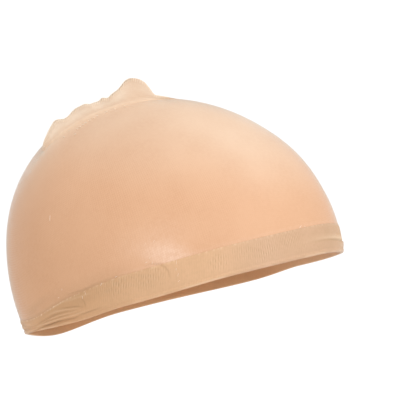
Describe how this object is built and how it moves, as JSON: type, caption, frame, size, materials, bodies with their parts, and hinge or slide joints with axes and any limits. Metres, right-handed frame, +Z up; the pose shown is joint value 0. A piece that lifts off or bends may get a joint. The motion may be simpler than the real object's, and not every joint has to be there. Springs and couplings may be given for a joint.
{
  "type": "wig cap",
  "caption": "Dome-shaped stretch knit cap worn under a wig, with a standing wavy seam ridge on top and a doubled elastic band round its open rim.",
  "frame": {"origin": "middle of the hollow that the head fills, at the level where the head is widest", "axes": "+Z up through the crown, -Y towards the forehead, +X towards the wearer's left; the head leaves along -Z"},
  "size_m": [0.1503, 0.188, 0.1443],
  "materials": {
    "sheer_knit": "fine sheer stretch knit, matt with a faint sheen",
    "elastic_knit": "dense doubled knit with fine upright ribs, matt",
    "seam_thread": "fine overlocked thread, matt"
  },
  "bodies": {
    "root": {"crown": "sheer_knit", "band": "elastic_knit", "crown_seam": "seam_thread"}
  },
  "joints": []
}
